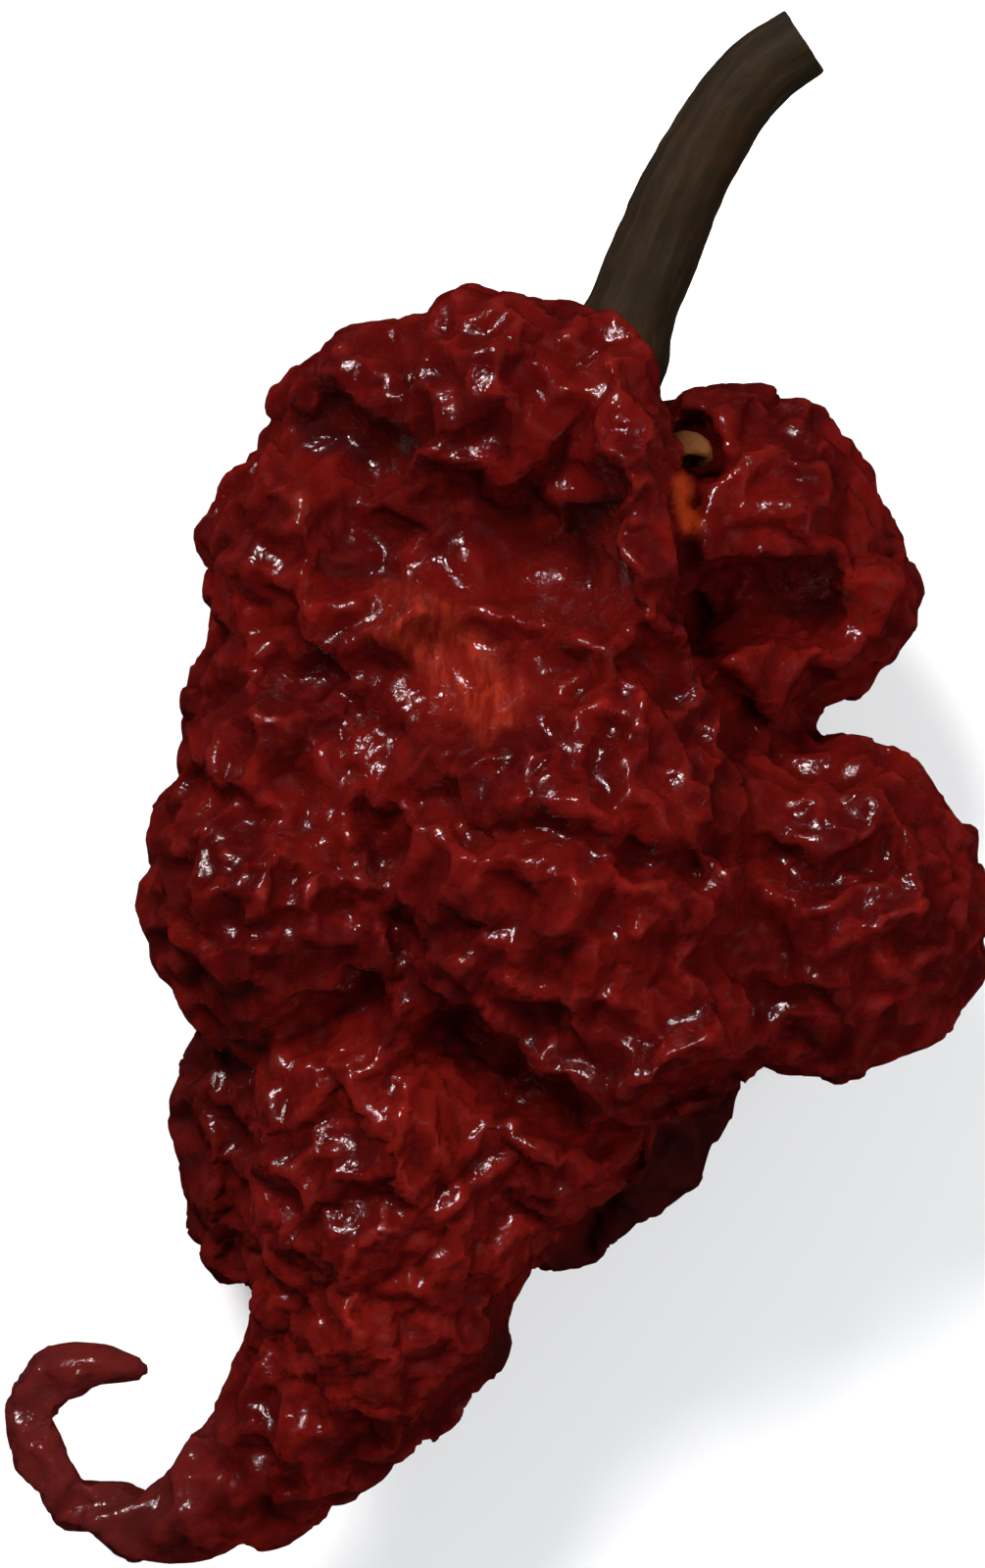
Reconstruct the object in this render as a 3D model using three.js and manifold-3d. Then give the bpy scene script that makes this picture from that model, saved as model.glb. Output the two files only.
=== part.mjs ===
// A dried chilli pepper of the wrinkled, tailed kind, lying on its side as it was picked and dried.
// It has three pieces: the pod, which grew as one piece from its shoulders to its hooked tail, the
// calyx, a dry toothed cap in the dip between the shoulders, and the curved stem that grows from it.
//
// Millimetres. +Y runs from the tail to the cut end of the stem, +X across the shoulders, and +Z up
// from the surface that the pod lies on. The origin is under the middle of the whole pepper.

import * as THREE from "three";
import { mergeVertices } from "three/addons/utils/BufferGeometryUtils.js";
import Module from "manifold-3d";

const wasm = await Module();
wasm.setup();

// Driving dimensions.
const LOBE_DETAIL = 3; // subdivisions of the ball that each lobe starts from
const LUMP_HEIGHT = 0.28; // how far the skin's lumps stand out on a lobe
const LUMP_PITCH = 4.6; // distance from one lump to the next
const FIT_GAP = 0.3; // clearance between neighbouring pieces
const CALYX_RADIUS = 4.9; // to the tips of the calyx's teeth
const CALYX_TOP = 1.3; // height of the collar that the stem grows from, above the calyx's centre
const CALYX_TEETH = 5;
const STEM_END_RADIUS = 1.45; // at the cut end
const STEM_BASE_RADIUS = 2.1; // where the stem meets the calyx
const FLOOR_DEPTH = 4; // thickness of the slab that presses the underside flat

// Where the calyx sits, and the direction in which the stem leaves it.
const CALYX_CENTRE = new THREE.Vector3(3.8, 14.4, 11.4);
const STEM_DIRECTION = new THREE.Vector3(0.36, 0.92, 0.1).normalize();

// The lobes of the pod: centre, half-sizes, and how far each is turned about the vertical, in degrees.
const LOBES = [
  // shoulders round the calyx
  { at: [-6.9, 9.0, 11.8], half: [4.4, 6.0, 6.8], turn: -10 }, // left shoulder, outer
  { at: [-4.6, 14.0, 13.0], half: [4.0, 4.2, 6.8], turn: -34 }, // left shoulder, upper
  { at: [0.6, 15.2, 15.8], half: [5.0, 4.1, 5.8], turn: -6 }, // top shoulder
  { at: [5.1, 10.9, 17.6], half: [2.4, 7.2, 4.4], turn: 6 }, // ridge in front of the calyx
  { at: [10.4, 9.9, 11.2], half: [5.0, 5.8, 6.6], turn: 26 }, // right shoulder
  { at: [12.6, 7.1, 11.6], half: [4.3, 3.6, 5.2], turn: 10 }, // foot of the right shoulder
  { at: [-2.6, 11.0, 7.2], half: [7.2, 6.6, 7.4], turn: 10 }, // shoulder on the underside, left
  { at: [7.0, 9.2, 6.7], half: [6.4, 6.2, 7.1], turn: -14 }, // shoulder on the underside, right
  // the belly
  { at: [2.2, 4.4, 12.6], half: [10.6, 11.0, 8.6], turn: -14 }, // middle of the pod
  { at: [-8.2, 1.6, 12.6], half: [4.3, 5.0, 6.6], turn: -6 }, // left flank, upper
  { at: [-8.4, -4.6, 12.8], half: [5.4, 6.6, 7.4], turn: 4 }, // left flank, lower
  { at: [3.2, -2.6, 18.2], half: [7.4, 8.0, 6.6], turn: 30 }, // lobe that hangs over the front
  { at: [5.4, -8.6, 17.6], half: [5.2, 4.6, 5.2], turn: -20 }, // lower lip of that lobe
  { at: [12.9, -4.7, 13.6], half: [6.5, 6.8, 7.0], turn: 10 }, // right flank
  { at: [1.0, -4.4, 6.9], half: [10.2, 9.2, 7.3], turn: -10 }, // belly on the underside
  // the taper
  { at: [-3.8, -12.6, 12.4], half: [6.4, 7.2, 6.6], turn: -14 }, // upper taper
  { at: [-8.4, -13.2, 8.0], half: [4.1, 6.6, 5.6], turn: 4 }, // fold behind the taper, left
  { at: [3.6, -13.2, 8.0], half: [5.0, 7.2, 5.8], turn: -44 }, // fold behind the taper, right
  { at: [-4.1, -20.2, 11.0], half: [5.0, 6.8, 5.6], turn: -16 }, // lower taper
];

// Hollows between the lobes, given in the same way and cut back out of them.
const HOLLOWS = [
  { at: [0.2, 8.4, 23.4], half: [5.0, 4.4, 5.4], turn: -8 }, // under the top shoulder
  { at: [10.6, 7.0, 19.8], half: [5.2, 2.2, 4.0], turn: 8 }, // across the right shoulder
];

// The tail: its middle line from inside the taper to the tip, and its radius at each of those points.
const TAIL_LINE = [
  [-4.6, -19.4, 10.6],
  [-6.6, -24.6, 10.0],
  [-10.0, -28.0, 9.0],
  [-13.7, -29.6, 8.2],
  [-17.0, -28.3, 7.8],
  [-18.4, -25.8, 7.8],
  [-17.2, -23.7, 8.2],
  [-14.1, -23.1, 8.8],
];
const TAIL_RADII = [4.8, 4.1, 2.7, 1.6, 1.45, 1.35, 1.1, 0.6];

// The stem: its middle line from just above the calyx, straight out of it, to the cut end.
const alongStem = (distance) => CALYX_CENTRE.clone().addScaledVector(STEM_DIRECTION, distance).toArray();
const STEM_LINE = [
  alongStem(CALYX_TOP + FIT_GAP),
  alongStem(CALYX_TOP + 3),
  [7.5, 23.6, 12.4],
  [9.7, 27.0, 12.8],
  [12.4, 29.4, 13.2],
];
const stemRadius = (t) => THREE.MathUtils.lerp(STEM_BASE_RADIUS, STEM_END_RADIUS, t);

// A closed three.js geometry as a manifold-3d solid.
function solidOf(geometry) {
  const bare = new THREE.BufferGeometry().setAttribute("position", geometry.attributes.position);
  if (geometry.index) bare.setIndex(geometry.index);
  const merged = mergeVertices(bare, 1e-4);
  return new wasm.Manifold(
    new wasm.Mesh({
      numProp: 3,
      vertProperties: merged.attributes.position.array,
      triVerts: new Uint32Array(merged.index.array),
    }),
  );
}

// A manifold-3d solid as a three.js geometry.
function geometryOf(solid) {
  const { numProp, vertProperties, triVerts } = solid.getMesh();
  const count = vertProperties.length / numProp;
  const position = new Float32Array(count * 3);
  for (let i = 0; i < count; i++) {
    position.set(vertProperties.subarray(i * numProp, i * numProp + 3), i * 3);
  }
  return new THREE.BufferGeometry()
    .setAttribute("position", new THREE.BufferAttribute(position, 3))
    .setIndex(new THREE.BufferAttribute(new Uint32Array(triVerts), 1));
}

// The height of the skin's lumps at a point: three crossed waves, so no lump repeats in a row.
function lumpAt(p) {
  const k = (2 * Math.PI) / LUMP_PITCH;
  const along = Math.sin(k * (p.x + 0.35 * p.y));
  const across = Math.sin(k * (0.82 * p.y - 0.3 * p.z) + 1.3);
  const up = Math.sin(k * (0.9 * p.z + 0.25 * p.x) + 2.1);
  return (LUMP_HEIGHT * (along + across + up)) / 2;
}

// One lobe: a ball stretched to its half-sizes, turned, put in place and lumped.
function lobe({ at, half, turn }) {
  const geometry = new THREE.IcosahedronGeometry(1, LOBE_DETAIL);
  geometry.scale(...half);
  geometry.rotateZ(THREE.MathUtils.degToRad(turn));
  geometry.translate(...at);
  const centre = new THREE.Vector3(...at);
  const position = geometry.attributes.position;
  const p = new THREE.Vector3();
  for (let i = 0; i < position.count; i++) {
    p.fromBufferAttribute(position, i);
    const out = p.clone().sub(centre).normalize();
    p.addScaledVector(out, lumpAt(p));
    position.setXYZ(i, p.x, p.y, p.z);
  }
  return solidOf(geometry);
}

// The value at t, from 0 to 1, on the straight lines through a row of evenly spaced values.
function valueAlong(values, t) {
  const i = Math.min(Math.floor(t * (values.length - 1)), values.length - 2);
  return THREE.MathUtils.lerp(values[i], values[i + 1], t * (values.length - 1) - i);
}

// A round tube along a line, with a radius that changes on the way and closed ends.
function taperedTube(line, radiusAt, steps, sides) {
  const curve = new THREE.CatmullRomCurve3(line.map((p) => new THREE.Vector3(...p)));
  const frames = curve.computeFrenetFrames(steps, false);
  const points = [];
  const faces = [];
  for (let i = 0; i <= steps; i++) {
    const centre = curve.getPoint(i / steps);
    for (let j = 0; j < sides; j++) {
      const angle = (2 * Math.PI * j) / sides;
      const out = new THREE.Vector3()
        .addScaledVector(frames.normals[i], Math.cos(angle))
        .addScaledVector(frames.binormals[i], Math.sin(angle));
      points.push(centre.clone().addScaledVector(out, radiusAt(i / steps)));
    }
  }
  const first = points.push(curve.getPointAt(0)) - 1;
  const last = points.push(curve.getPointAt(1)) - 1;
  for (let j = 0; j < sides; j++) {
    const next = (j + 1) % sides;
    for (let i = 0; i < steps; i++) {
      const [a, b] = [i * sides + j, i * sides + next];
      faces.push(a, b, b + sides, a, b + sides, a + sides);
    }
    faces.push(first, next, j);
    faces.push(last, steps * sides + j, steps * sides + next);
  }
  return new THREE.BufferGeometry().setFromPoints(points).setIndex(faces);
}

// A profile of [radius, height] points spun about the stem's direction, with heights from the calyx's
// centre. Its faces are bent by a function of the radius and the angle round the stem.
function spunAboutStem(profile, sides, bend = (radius, height) => [radius, height]) {
  const geometry = new THREE.LatheGeometry(profile.map(([r, h]) => new THREE.Vector2(r, h)), sides);
  const position = geometry.attributes.position;
  for (let i = 0; i < position.count; i++) {
    const [x, y, z] = [position.getX(i), position.getY(i), position.getZ(i)];
    const angle = Math.atan2(z, x);
    const [radius, height] = bend(Math.hypot(x, z), y, angle);
    position.setXYZ(i, radius * Math.cos(angle), height, radius * Math.sin(angle));
  }
  const up = new THREE.Vector3(0, 1, 0);
  geometry.applyQuaternion(new THREE.Quaternion().setFromUnitVectors(up, STEM_DIRECTION));
  return geometry.translate(...CALYX_CENTRE);
}

// The calyx: a thin domed cap with a toothed rim that turns down over the pod.
function calyxGeometry() {
  const profile = [
    [0, -1.1],
    [2.6, -1.2],
    [3.9, -2.0],
    [CALYX_RADIUS - 0.3, -2.8],
    [CALYX_RADIUS, -2.3],
    [4.3, -1.0],
    [3.3, 0.0],
    [2.3, 0.6],
    [STEM_BASE_RADIUS, CALYX_TOP],
    [0, CALYX_TOP],
  ];
  return spunAboutStem(profile, 40, (radius, height, angle) => {
    const rim = THREE.MathUtils.smoothstep(radius, 2.6, CALYX_RADIUS);
    const tooth = Math.cos(CALYX_TEETH * angle);
    return [radius * (1 + 0.11 * rim * (tooth - 1)), height - 0.3 * rim * tooth];
  });
}

// The room that the pod leaves for the calyx: its own shape without the teeth, with a gap all round.
function calyxRoom() {
  const profile = [
    [0, -1.1 - FIT_GAP],
    [2.2, -1.2 - FIT_GAP],
    [2.8, -1.7 - FIT_GAP],
    [3.3, -3.1 - FIT_GAP],
    [CALYX_RADIUS + FIT_GAP, -3.1 - FIT_GAP],
    [CALYX_RADIUS + 2 * FIT_GAP, -1.4],
    [4.2 + FIT_GAP, 0.2],
    [3.2 + FIT_GAP, 1.2],
    [STEM_BASE_RADIUS + 2 * FIT_GAP, CALYX_TOP + 3 * FIT_GAP],
    [0, CALYX_TOP + 3 * FIT_GAP],
  ];
  return spunAboutStem(profile, 24);
}

// What the pod leaves free: room for the calyx and the stem, and the floor.
function podClearance() {
  const stem = taperedTube(STEM_LINE, (t) => stemRadius(t) + 2 * FIT_GAP, 8, 16);
  const slab = new THREE.BoxGeometry(100, 100, FLOOR_DEPTH).translate(0, 0, -FLOOR_DEPTH / 2);
  return [calyxRoom(), stem, slab].map(solidOf).reduce((a, b) => a.add(b));
}

function podGeometry() {
  const tail = taperedTube(TAIL_LINE, (t) => valueAlong(TAIL_RADII, t), 32, 14);
  const pod = LOBES.map(lobe).reduce((a, b) => a.add(b), solidOf(tail));
  const hollows = HOLLOWS.map(lobe).reduce((a, b) => a.add(b));
  return geometryOf(pod.subtract(hollows).subtract(podClearance()));
}

const stemGeometry = () => taperedTube(STEM_LINE, stemRadius, 20, 20);

const podSkin = new THREE.MeshStandardMaterial({ color: "#6e0f0c", roughness: 0.32, metalness: 0 });
const dryCalyx = new THREE.MeshStandardMaterial({ color: "#5b4426", roughness: 0.8, metalness: 0 });
const dryStem = new THREE.MeshStandardMaterial({ color: "#4a3b22", roughness: 0.7, metalness: 0 });

function piece(name, geometry, material) {
  const mesh = new THREE.Mesh(geometry, material);
  mesh.name = name;
  return mesh;
}

const pepper = new THREE.Group();
pepper.name = "dried_chilli_pepper";
pepper.add(piece("pod", podGeometry(), podSkin));
pepper.add(piece("calyx", calyxGeometry(), dryCalyx));
pepper.add(piece("stem", stemGeometry(), dryStem));

// The whole pepper is moved together so that the origin is under its middle, on the surface it lies on.
const extent = new THREE.Box3().setFromObject(pepper);
const middle = extent.getCenter(new THREE.Vector3());
pepper.children.forEach((mesh) => mesh.geometry.translate(-middle.x, -middle.y, -extent.min.z));

export default pepper;
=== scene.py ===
# %% [markdown]
# # A dried chilli pepper, modelled in Blender
#
# The real thing is a small, very hot pepper with a hooked tail. It was picked ripe and dried whole,
# so its skin is now too large for the flesh inside and has crumpled into glossy folds. It lies on its
# side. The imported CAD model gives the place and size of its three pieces: the pod, the calyx and the
# stem. This lesson makes the look of each one around that model.

# %% Load the frame and keep its box
import math

import bpy
import numpy as np
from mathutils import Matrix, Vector, noise
from mathutils.bvhtree import BVHTree


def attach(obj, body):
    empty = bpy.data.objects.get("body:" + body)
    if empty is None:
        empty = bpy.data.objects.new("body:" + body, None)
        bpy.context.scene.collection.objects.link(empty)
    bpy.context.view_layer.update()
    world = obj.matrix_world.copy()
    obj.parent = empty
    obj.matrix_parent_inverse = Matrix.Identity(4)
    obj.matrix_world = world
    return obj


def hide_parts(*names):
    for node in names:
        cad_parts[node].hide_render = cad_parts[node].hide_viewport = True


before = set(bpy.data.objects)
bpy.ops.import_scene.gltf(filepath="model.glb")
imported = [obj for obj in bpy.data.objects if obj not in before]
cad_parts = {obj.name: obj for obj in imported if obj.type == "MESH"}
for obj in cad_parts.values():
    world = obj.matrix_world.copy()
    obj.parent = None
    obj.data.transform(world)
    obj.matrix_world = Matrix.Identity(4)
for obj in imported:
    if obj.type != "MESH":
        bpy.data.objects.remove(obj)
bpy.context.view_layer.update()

MM = 0.001

# %% [markdown]
# ## Small helpers
#
# Blender's operators act on whatever is selected, so the first helper selects one piece and nothing
# else. The second adds a modifier and applies it at once, as pressing Apply does. The last two read
# and write all the points of a mesh together, which is far quicker than one by one.

# %% Helpers for selecting, modifying and moving points
def only(piece):
    bpy.ops.object.select_all(action="DESELECT")
    piece.select_set(True)
    bpy.context.view_layer.objects.active = piece


def modify(piece, kind, **settings):
    only(piece)
    modifier = piece.modifiers.new(kind.title(), kind)
    for name, value in settings.items():
        setattr(modifier, name, value)
    bpy.ops.object.modifier_apply(modifier=modifier.name)


def points_of(piece):
    flat = np.empty(len(piece.data.vertices) * 3)
    piece.data.vertices.foreach_get("co", flat)
    return flat.reshape(-1, 3)


def move_points(piece, points):
    piece.data.vertices.foreach_set("co", np.asarray(points, dtype=float).ravel())
    piece.data.update()


def normals_of(piece):
    flat = np.empty(len(piece.data.vertices) * 3)
    piece.data.vertices.foreach_get("normal", flat)
    return flat.reshape(-1, 3)


def smooth_step(x, low, high):
    t = np.clip((x - low) / (high - low), 0, 1)
    return t * t * (3 - 2 * t)


def copy_of_node(name, piece_name):
    """A loose copy of a CAD node's mesh, merged into one skin."""
    piece = bpy.data.objects.new(piece_name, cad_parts[name].data.copy())
    bpy.context.scene.collection.objects.link(piece)
    piece.data.materials.clear()
    only(piece)
    bpy.ops.object.mode_set(mode="EDIT")
    bpy.ops.mesh.select_all(action="SELECT")
    bpy.ops.mesh.remove_doubles(threshold=0.002 * MM)
    bpy.ops.mesh.normals_make_consistent(inside=False)
    bpy.ops.object.mode_set(mode="OBJECT")
    return piece


# %% [markdown]
# ## Camera, floor and light
#
# The camera looks straight down, as over a table, with the pepper's length up the frame. A long lens
# from 30 cm keeps the near lobes from looking swollen. Glossy, wrinkled skin mirrors whatever is large
# and bright, which would turn its deep red to grey. So the work is shared out: a soft box at the top
# left and a wider one on the other side light the skin but don't show in it, and a small light in the
# place of the first one makes the highlights and nothing else. The floor is a plain pale sheet.

# %% Camera
CAMERA_HEIGHT = 0.312
FOCUS_HEIGHT = 0.012
VIEW_LENGTH = 0.0620
CAMERA_SHIFT = 0.0003
SENSOR_WIDTH = 36  # millimetres

camera_data = bpy.data.cameras.new("camera")
camera_data.sensor_width = SENSOR_WIDTH
camera_data.lens = SENSOR_WIDTH * (CAMERA_HEIGHT - FOCUS_HEIGHT) / VIEW_LENGTH
camera_data.clip_start = 0.01
camera = bpy.data.objects.new("camera", camera_data)
camera.location = (0, CAMERA_SHIFT, CAMERA_HEIGHT)
bpy.context.scene.collection.objects.link(camera)
bpy.context.scene.camera = camera
print("lens in mm", round(camera_data.lens, 1))

# %% Floor
bpy.ops.object.select_all(action="DESELECT")
bpy.ops.mesh.primitive_plane_add(size=3, location=(0, 0, 0))
floor = bpy.context.object
floor.name = "floor"

# %% Lights
def soft_box(name, place, diameter, watts, colour):
    data = bpy.data.lights.new(name, "AREA")
    data.shape = "DISK"
    data.size = diameter
    data.energy = watts
    data.color = colour
    light = bpy.data.objects.new(name, data)
    light.location = place
    light.rotation_euler = Vector(place).to_track_quat("Z", "Y").to_euler()
    bpy.context.scene.collection.objects.link(light)
    return light


KEY_PLACE = (-0.13, 0.22, 0.30)
FILL_PLACE = (0.26, -0.04, 0.34)
key_light = soft_box("key_light", KEY_PLACE, 0.18, 2.8, (1.0, 0.98, 0.96))
glint_light = soft_box("glint_light", KEY_PLACE, 0.04, 1.5, (1.0, 0.90, 0.92))
fill_light = soft_box("fill_light", FILL_PLACE, 0.30, 1.8, (1.0, 1.0, 1.0))
key_light.visible_glossy = fill_light.visible_glossy = False
glint_light.visible_diffuse = False
floor.visible_glossy = False

world = bpy.data.worlds.new("studio")
world.use_nodes = True
world.node_tree.nodes["Background"].inputs["Color"].default_value = (0.85, 0.9, 1.0, 1)
world.node_tree.nodes["Background"].inputs["Strength"].default_value = 0.25
world.cycles_visibility.glossy = False
bpy.context.scene.world = world
bpy.context.scene.view_settings.view_transform = "Standard"

# %% [markdown]
# ## The pod: from plain lobes to one skin
#
# On the real pepper the pod grew in one piece, with swollen lobes round a tapering body. The CAD pod
# already has those lobes, but as separate balls with sharp seams between them. A voxel remesh turns
# them into one even skin, the way clay is smeared over joints. A few more lumps are added first where
# neighbouring lobes grew together. All the work on the skin is done at a hundred times the real size,
# because Blender's cloth simulation loses its accuracy on things a few millimetres wide.

# %% The pod's lumps and its even skin
WORK_SCALE = 100
UNIT = MM * WORK_SCALE  # one real millimetre at the working size
COARSE = 0.5  # millimetres between the points of the first skin

# Lumps that join neighbouring lobes: centre and half-sizes in millimetres.
JOINING_LUMPS = [
    ((-4.4, -0.3, 14.6), (3.6, 6.8, 5.2)),  # between the left flank and the front lobe
    ((-4.0, -4.6, 14.8), (3.0, 4.6, 5.0)),  # lower down the same valley
    ((-5.2, 5.9, 13.8), (3.6, 4.2, 5.2)),  # between the left shoulder and the left flank
    ((-3.2, -8.2, 14.2), (2.3, 2.6, 5.2)),  # where the flank, the front lobe and the taper meet
    ((5.7, 9.6, 18.0), (1.9, 6.2, 4.3)),  # the ridge from the stem to the front lobe
    ((-0.2, 13.0, 17.4), (4.6, 1.7, 3.4)),  # the lower edge of the top shoulder
    ((2.7, 12.6, 17.2), (2.6, 1.8, 3.3)),
    ((-3.2, 12.0, 16.4), (2.0, 1.7, 3.0)),
    ((-10.5, -15.0, 7.2), (1.9, 4.8, 5.0)),  # the fold behind the left of the taper
    ((8.8, 14.1, 12.6), (2.1, 1.8, 3.6)),  # between the ridge and the right shoulder
    ((9.2, -3.0, 15.4), (3.4, 6.0, 5.2)),  # between the front lobe and the right flank
    ((9.2, 3.3, 11.8), (3.4, 3.2, 4.2)),  # behind the fold under the right shoulder
    ((2.0, -12.9, 14.0), (4.6, 4.2, 4.2)),  # the taper's right side
    ((-3.8, -16.9, 13.2), (5.6, 4.4, 4.8)),  # between the upper and the lower taper
]

pod = copy_of_node("pod", "pod_skin")
lumps = [pod]
for centre, half in JOINING_LUMPS:
    bpy.ops.object.select_all(action="DESELECT")
    place = Vector(centre) * MM
    bpy.ops.mesh.primitive_ico_sphere_add(subdivisions=4, radius=MM, location=place, scale=half)
    bpy.ops.object.transform_apply(location=True, rotation=True, scale=True)
    lumps.append(bpy.context.object)
only(pod)
for lump in lumps:
    lump.select_set(True)
bpy.ops.object.join()
move_points(pod, points_of(pod) * WORK_SCALE)
modify(pod, "REMESH", mode="VOXEL", voxel_size=COARSE * UNIT)
modify(pod, "SMOOTH", factor=0.5, iterations=8)
print("pod skin has", len(pod.data.vertices), "points")

# %% [markdown]
# ## The pod: its own folds
#
# Every pepper has a few large folds that make it this one and no other: a ridge that runs down from
# the stem, a deep smooth hollow beside it, a front lobe whose edge hangs over the taper. They are
# drawn as strokes across the skin seen from above. A stroke lifts or sinks the skin near it,
# most on its own line and less to the sides, and only where the skin faces up.

# %% Strokes on the skin
# Each stroke: its points in millimetres, seen from above, its width, and how far it lifts the skin.
STROKES = [
    # the ridge from the stem, its knobs, and the creases on both sides of it
    ([(5.0, 16.4), (5.2, 14.1), (5.6, 10.0), (6.3, 6.3), (6.4, 4.4)], 1.5, 0.5),
    ([(4.6, 12.6), (5.5, 12.0)], 0.5, 0.8),
    ([(4.9, 9.1), (5.8, 8.4)], 0.5, 0.8),
    ([(6.4, 6.8), (7.2, 6.0)], 0.5, 0.8),
    ([(3.6, 10.4), (3.8, 9.4), (4.4, 6.9)], 0.7, -1.0),
    ([(7.5, 12.4), (7.5, 10.2), (7.9, 7.0), (8.7, 4.6), (9.8, 3.0)], 0.6, -2.0),
    # the gap where a tooth of the calyx shows
    ([(7.5, 14.0), (8.1, 13.0)], 0.8, -2.6),
    # the hollow under the top shoulder, and the sharp lip below it
    ([(-1.8, 9.0), (1.8, 8.5)], 2.1, -0.5),
    ([(-0.9, 8.8), (-0.5, 8.6)], 0.9, 1.3),
    ([(-3.9, 6.2), (-3.0, 7.0), (-0.6, 7.0), (2.1, 6.6), (4.2, 5.5)], 0.8, 1.7),
    ([(-1.6, 4.6), (1.0, 2.9)], 2.0, -0.8),
    # the hollow across the right shoulder, and the fold under its foot
    ([(8.8, 7.6), (11.0, 7.3), (13.2, 6.9)], 1.2, -1.9),
    ([(9.8, 2.3), (12.6, 2.2), (15.4, 1.9)], 1.2, -2.0),
    # the hollow between the left and top shoulders, and the valley below the left shoulder
    ([(-7.2, 14.2), (-5.0, 13.2)], 1.5, -3.0),
    ([(-11.0, 3.7), (-8.7, 4.5), (-6.9, 4.5)], 0.8, -1.0),
    # the long crease between the left flank and the front lobe, and one across the front lobe
    ([(-5.6, 3.0), (-5.6, 1.4), (-4.8, -1.6), (-3.9, -4.5), (-3.4, -6.0)], 0.5, -0.9),
    ([(-2.7, -0.3), (-0.1, -1.6), (1.6, -1.6), (4.4, -2.2), (7.4, -2.9)], 0.7, -1.6),
    # the overhanging edge of the front lobe, and the dark crease beneath it
    ([(-2.2, -7.1), (-0.6, -9.3), (1.6, -10.7), (4.4, -11.9), (6.0, -10.9), (8.4, -9.5)], 1.0, 1.4),
    ([(-1.9, -9.8), (-1.2, -10.6), (0.7, -11.9), (4.2, -13.5), (7.4, -12.3), (10.2, -10.9)], 0.8, -2.2),
    # the crease under the left flank, and one across the right flank
    ([(-11.6, -7.5), (-9.6, -9.9), (-6.6, -9.1), (-4.6, -8.1)], 0.8, -1.2),
    ([(9.6, -1.9), (12.4, -3.1), (15.0, -2.5)], 0.8, -1.4),
    # the taper's flattened left edge, its right edge, and the fold behind it
    ([(-9.6, -12.1), (-9.2, -14.9), (-9.6, -17.3), (-8.7, -20.1)], 0.9, 1.0),
    ([(-10.3, -11.3), (-10.4, -14.7), (-10.5, -18.1)], 0.6, -0.9),
    ([(6.6, -14.0), (5.0, -15.6), (3.9, -17.4), (2.0, -20.2), (0.2, -22.6), (-2.6, -25.2)], 0.6, -2.0),
    ([(9.0, -12.6), (6.6, -15.2), (4.2, -18.2)], 1.3, -1.6),
]
# The thin crests, in the same way. These are pinched up after the folds have formed.
CREST_LINES = [
    # around and across the front lobe
    ([(-2.9, 0.1), (-1.7, 0.4), (-0.4, 1.3)], 0.45, 0.3),
    ([(1.1, 4.8), (1.4, 1.3), (0.7, -0.9)], 0.45, 0.4),
    ([(2.7, 4.0), (3.6, 4.4), (5.0, 4.7), (5.8, 3.9), (5.4, 2.8), (4.3, 3.3)], 0.45, 0.45),
    ([(7.0, 2.9), (8.2, 3.8), (8.9, 3.0), (8.5, 1.8)], 0.45, 0.45),
    ([(1.1, -1.6), (3.0, -2.4), (3.3, -4.1), (2.3, -5.4)], 0.45, 0.45),
    ([(5.0, -3.4), (6.5, -3.6), (7.0, -5.1), (5.5, -5.4)], 0.45, 0.4),
    ([(8.5, 0.3), (9.0, -1.9), (9.2, -3.9)], 0.45, 0.4),
    ([(-1.1, -6.6), (1.1, -7.6)], 0.45, 0.35),
    ([(5.0, -7.1), (4.5, -8.3)], 0.45, 0.4),
    ([(3.0, -8.0), (3.0, -9.6)], 0.45, 0.35),
    # on the left flank, with a glossy roll at its edge
    ([(-12.0, 1.4), (-10.9, 1.3), (-10.8, 0.1), (-11.5, -1.3), (-12.3, -2.2)], 0.6, 0.5),
    ([(-9.8, 3.1), (-8.1, 2.6)], 0.45, 0.35),
    ([(-6.7, 1.8), (-6.6, -0.8), (-5.4, -1.8)], 0.45, 0.4),
    ([(-5.6, 3.1), (-5.3, -0.2)], 0.4, 0.3),
    ([(-6.1, -1.9), (-4.9, -3.6)], 0.6, 0.4),
    ([(-10.3, -2.4), (-8.6, -2.9), (-9.1, -4.8)], 0.45, 0.35),
    ([(-8.1, -2.4), (-6.8, -3.1), (-7.3, -5.1)], 0.45, 0.35),
    ([(-10.3, -5.6), (-7.8, -6.6)], 0.45, 0.35),
    # on the right flank
    ([(16.3, -4.5), (15.0, -4.8), (14.8, -5.9), (15.4, -7.0)], 0.55, 0.5),
    ([(12.0, -6.6), (12.8, -8.7)], 0.55, 0.45),
    # down the taper
    ([(-3.3, -11.3), (-3.6, -13.7), (-3.2, -15.5)], 0.5, 0.45),
    ([(-2.3, -12.8), (-1.8, -14.4), (-1.2, -15.7)], 0.5, 0.4),
    ([(-5.4, -17.9), (-4.0, -16.9), (-1.8, -16.1)], 0.5, 0.45),
    ([(-5.7, -20.3), (-5.3, -21.1), (-5.1, -22.1)], 0.45, 0.4),
]


def distance_to_line(places, line):
    """How far each place is, seen from above, from a line of straight stretches."""
    nearest = np.full(len(places), np.inf)
    for start, end in zip(np.array(line[:-1]), np.array(line[1:])):
        along = end - start
        t = np.clip(((places - start) @ along) / (along @ along), 0, 1)
        nearest = np.minimum(nearest, np.linalg.norm(places - (start + t[:, None] * along), axis=1))
    return nearest


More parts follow.
